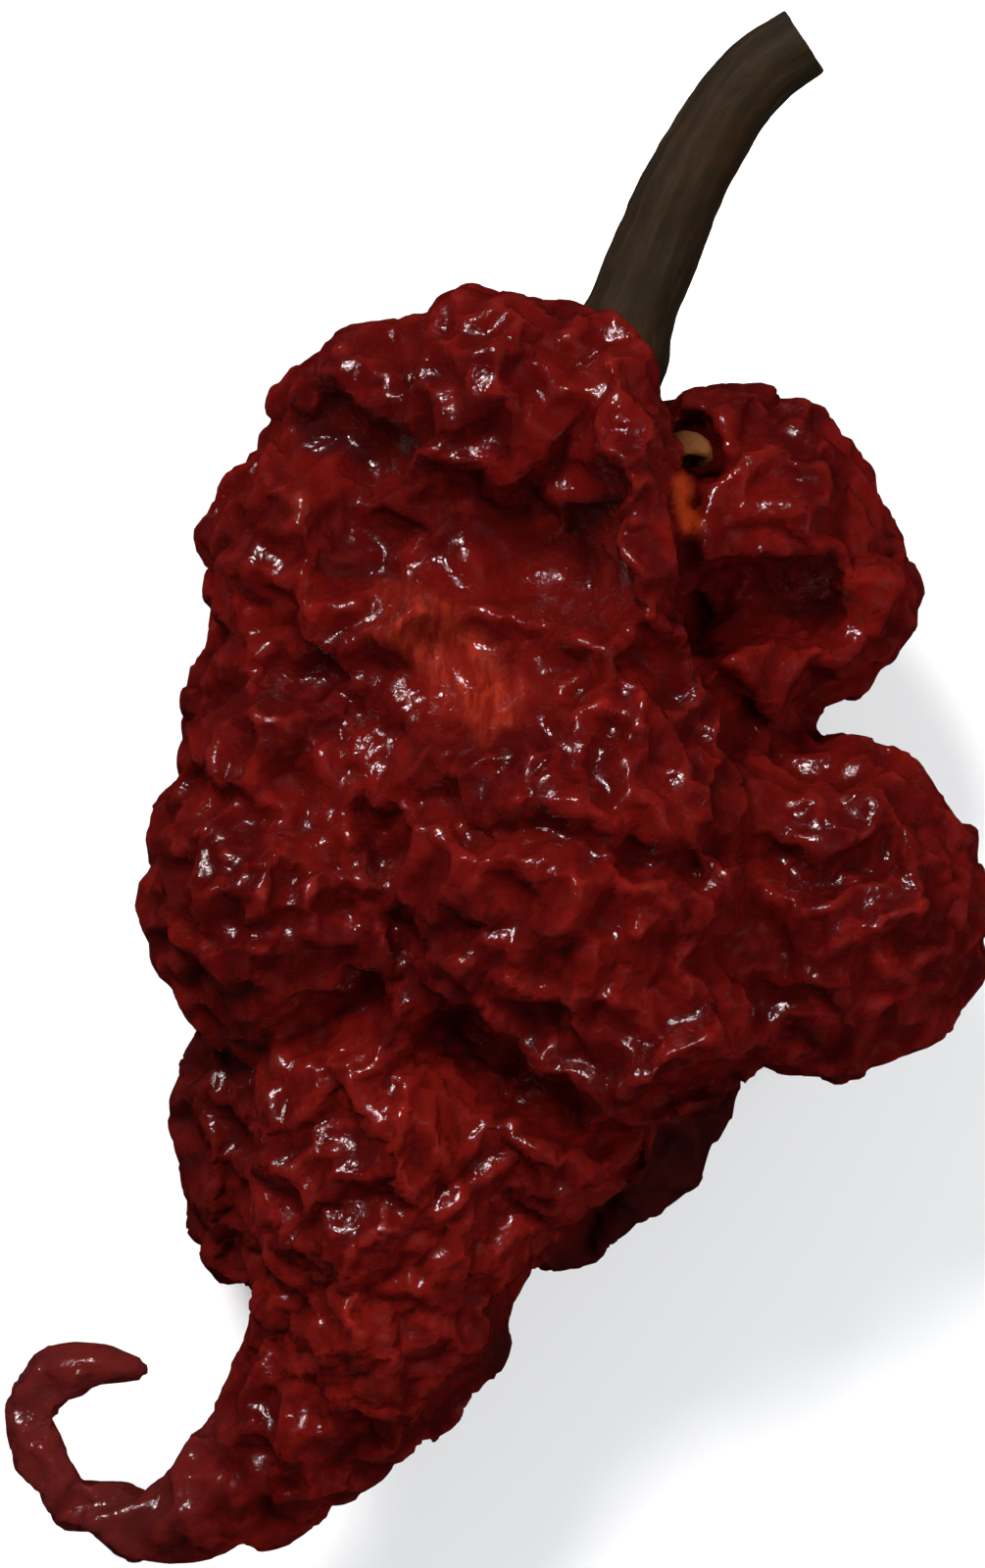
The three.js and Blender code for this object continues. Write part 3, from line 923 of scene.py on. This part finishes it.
def bumps(tree, *layers):
    """Bump nodes in a row. Each layer is a height socket, its strength and its depth in millimetres."""
    normal = None
    for height, strength, depth in layers:
        inputs = {"Height": height, "Strength": strength, "Distance": depth * MM}
        bump = add_node(tree, "ShaderNodeBump", inputs)
        if normal is not None:
            tree.links.new(normal, bump.inputs["Normal"])
        normal = bump.outputs["Normal"]
    return normal


# %% [markdown]
# ### The pod's skin
#
# Dried chilli skin is a thin, glossy, deep red film. Its valleys and deep hollows are given painted
# shade, almost black; its crests and the stretched flap are given a painted glow, red to orange, as
# where light gets through thin skin, and the flap also has a lighter red of its own. A pinkish bloom
# lies on the tail. The relief kept on the mesh tells valleys from crests, and the mottle group breaks
# every edge between two tones.

# %% Pod skin
# The colours. A pair is a darker and a lighter tone, mixed in patches.
DEEP_REDS = (0.032, 0.0013, 0.0012, 1), (0.060, 0.0022, 0.0016, 1)
RIPE_REDS = (0.040, 0.0017, 0.0014, 1), (0.070, 0.0029, 0.0019, 1)
FLAP_REDS = (0.092, 0.0048, 0.0028, 1), (0.155, 0.0125, 0.0052, 1)
GLOW_RED = (0.115, 0.0050, 0.0040, 1)
CREST_GLOW_RED = (0.120, 0.0062, 0.0040, 1)
VALLEY_SHADE_RED = (0.014, 0.0009, 0.0009, 1)
HOLLOW_SHADE_RED = (0.011, 0.0008, 0.0008, 1)
BLOOM_RED = (0.055, 0.0085, 0.0078, 1)
PAINTED_SHADE_RED = (0.010, 0.0017, 0.0018, 1)
PALE_ORANGE = (0.29, 0.028, 0.005, 1)

pod_material, tree, shader = new_material("pod_skin")
place = millimetres(tree)
broad = place_group(tree, mottle, Place=place, Pitch=4.5).outputs["Mask"]
small = place_group(tree, mottle, Place=place, Pitch=1.1).outputs["Mask"]
relief = attribute(tree, "relief")
depth = attribute(tree, "depth")
ripe = attribute(tree, "ripe")

deep_red = mix_colours(tree, broad, *DEEP_REDS)
ripe_red = mix_colours(tree, broad, *RIPE_REDS)
colour = mix_colours(tree, ripe, deep_red, ripe_red)
glow_noise = remap(tree, noise_at(tree, place, 0.75, detail=3.0, roughness=0.6), 0.52, 0.66)
glow_share = combine(tree, "MULTIPLY", glow_noise, remap(tree, ripe, 0, 1, 0.30, 0.35))
colour = mix_colours(tree, glow_share, colour, GLOW_RED)
# Painted glow: the crests are made a lighter red, as where light gets through thin skin.
uneven_crests = remap(tree, small, 0, 1, 0.35, 1.0)
crest_glow = combine(tree, "MULTIPLY", remap(tree, relief, 0.02, 0.30), uneven_crests)
colour = mix_colours(tree, crest_glow, colour, CREST_GLOW_RED)
# Painted shade: the valleys and deep hollows are darkened, as where shade falls in them.
valley_shade = combine(tree, "MULTIPLY", remap(tree, relief, -0.02, -0.22), 0.85)
colour = mix_colours(tree, valley_shade, colour, VALLEY_SHADE_RED)
hollow_shade = combine(tree, "MULTIPLY", remap(tree, depth, -0.2, -1.4), 0.8)
colour = mix_colours(tree, hollow_shade, colour, HOLLOW_SHADE_RED)

# The flap, striped where stretched, in its own lighter red with painted glow; then the other places.
stretch = {"Vector": place, "Scale": (1, 0.16, 0.4)}
striped_place = add_node(tree, "ShaderNodeMapping", stretch).outputs["Vector"]
stripes = noise_at(tree, striped_place, 3.2, detail=3.0, roughness=0.65)
flap_red = mix_colours(tree, remap(tree, stripes, 0.38, 0.62), *FLAP_REDS)
flap_share = combine(tree, "MULTIPLY", attribute(tree, "flap"), remap(tree, small, 0, 1, 0.6, 1.0))
colour = mix_colours(tree, flap_share, colour, flap_red)
colour = mix_colours(tree, combine(tree, "MULTIPLY", attribute(tree, "bloom"), 0.5), colour, BLOOM_RED)
# Painted shade on the skin that lies in shade.
colour = mix_colours(tree, attribute(tree, "painted_shade"), colour, PAINTED_SHADE_RED)
colour = mix_colours(tree, attribute(tree, "pale_skin"), colour, PALE_ORANGE)

crinkled = place_group(tree, crinkle, Place=place, Pitch=0.6, Bend=0.5)
pebbled = place_group(tree, crinkle, Place=place, Pitch=0.3, Bend=0.2)
tree.links.new(colour, shader.inputs["Base Color"])
gloss = remap(tree, noise_at(tree, place, 1.6, detail=3.0), 0.32, 0.68, 0.07, 0.27)
tree.links.new(gloss, shader.inputs["Roughness"])
shader.inputs["Specular IOR Level"].default_value = 0.35
relief_bumps = bumps(tree, (crinkled.outputs["Height"], 0.4, 0.06), (pebbled.outputs["Height"], 0.4, 0.016))
tree.links.new(relief_bumps, shader.inputs["Normal"])
pod.data.materials.append(pod_material)

# %% [markdown]
# ### Calyx and stem
#
# Both are dry plant tissue, matt and fibrous. Their fibres run along the stalk and out to the teeth,
# so their textures read the grain kept on each mesh, stretched along its length.

# %% Calyx
calyx_material, tree, shader = new_material("dry_calyx")
grain = attribute(tree, "grain", "Vector")
fibres = add_node(tree, "ShaderNodeMapping", {"Vector": grain, "Scale": (1, 1, 0.25)}).outputs["Vector"]
fibre_noise = noise_at(tree, fibres, 2.4, detail=3.0, roughness=0.6)
patchy = place_group(tree, mottle, Place=millimetres(tree), Pitch=1.6).outputs["Mask"]
green_brown = mix_colours(tree, patchy, (0.040, 0.027, 0.010, 1), (0.080, 0.048, 0.018, 1))
with_fibres = mix_colours(tree, remap(tree, fibre_noise, 0.4, 0.7), green_brown, (0.085, 0.036, 0.012, 1))
calyx_colour = mix_colours(tree, attribute(tree, "rim"), with_fibres, (0.085, 0.026, 0.006, 1))
tree.links.new(calyx_colour, shader.inputs["Base Color"])
shader.inputs["Roughness"].default_value = 0.72
shader.inputs["Specular IOR Level"].default_value = 0.15
calyx_crinkle = place_group(tree, crinkle, Place=millimetres(tree), Pitch=0.5, Bend=0.3)
calyx_bumps = bumps(tree, (fibre_noise, 0.8, 0.12), (calyx_crinkle.outputs["Height"], 0.6, 0.05))
tree.links.new(calyx_bumps, shader.inputs["Normal"])
calyx.data.materials.append(calyx_material)

# %% Stem
stem_material, tree, shader = new_material("dry_stem")
grain = attribute(tree, "grain", "Vector")
fibres = add_node(tree, "ShaderNodeMapping", {"Vector": grain, "Scale": (1, 1, 0.12)}).outputs["Vector"]
fibre_noise = noise_at(tree, fibres, 3.0, detail=4.0, roughness=0.6)
patchy = place_group(tree, mottle, Place=grain, Pitch=3.0).outputs["Mask"]
bark = mix_colours(tree, patchy, (0.0105, 0.0064, 0.0026, 1), (0.0150, 0.0066, 0.0026, 1))
bark = mix_colours(tree, remap(tree, fibre_noise, 0.48, 0.72, 0.0, 0.5), bark, (0.022, 0.0150, 0.0060, 1))
specks = noise_at(tree, grain, 5.0, detail=1.0)
bark = mix_colours(tree, remap(tree, specks, 0.64, 0.72, 0.0, 0.7), bark, (0.008, 0.005, 0.003, 1))
stem_colour = mix_colours(tree, attribute(tree, "cut_end"), bark, (0.22, 0.15, 0.075, 1))
tree.links.new(stem_colour, shader.inputs["Base Color"])
tree.links.new(remap(tree, fibre_noise, 0.3, 0.7, 0.60, 0.80), shader.inputs["Roughness"])
shader.inputs["Specular IOR Level"].default_value = 0.15
stem_crinkle = place_group(tree, crinkle, Place=grain, Pitch=0.6, Bend=0.3)
stem_bumps = bumps(tree, (fibre_noise, 0.4, 0.06), (stem_crinkle.outputs["Height"], 0.3, 0.03))
tree.links.new(stem_bumps, shader.inputs["Normal"])
stem.data.materials.append(stem_material)

# %% Floor
floor_material, tree, shader = new_material("studio_floor")
shader.inputs["Base Color"].default_value = (0.88, 0.88, 0.88, 1)
shader.inputs["Roughness"].default_value = 0.7
floor.data.materials.append(floor_material)
